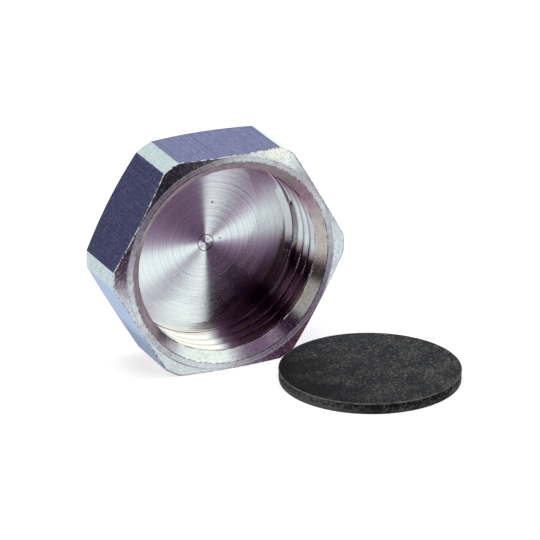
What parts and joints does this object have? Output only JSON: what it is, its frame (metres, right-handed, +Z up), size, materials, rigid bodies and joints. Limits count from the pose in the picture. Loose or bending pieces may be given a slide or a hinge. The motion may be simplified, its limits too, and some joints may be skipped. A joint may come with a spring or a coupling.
{
  "type": "threaded protection cap",
  "caption": "Hexagonal blind screw cap with an internal pipe thread and a countersunk mouth, standing on one flat beside its loose flat sealing disc.",
  "frame": {"origin": "centre of the hexagon flat that the cap stands on", "axes": "+Z up; the bore's axis is level, 18 mm above the origin, and the mouth opens towards -Y; +X is to the right when looking into the mouth"},
  "size_m": [0.0528, 0.0398, 0.036],
  "materials": {
    "turned_metal": "bare machined light metal, turned on every round face, drawn on the flats",
    "seal_sheet": "matt black fibre-filled rubber sheet, faintly mottled, with a rough cut side"
  },
  "bodies": {
    "root": {"cap_body": "turned_metal", "sealing_disc": "seal_sheet"}
  },
  "joints": []
}
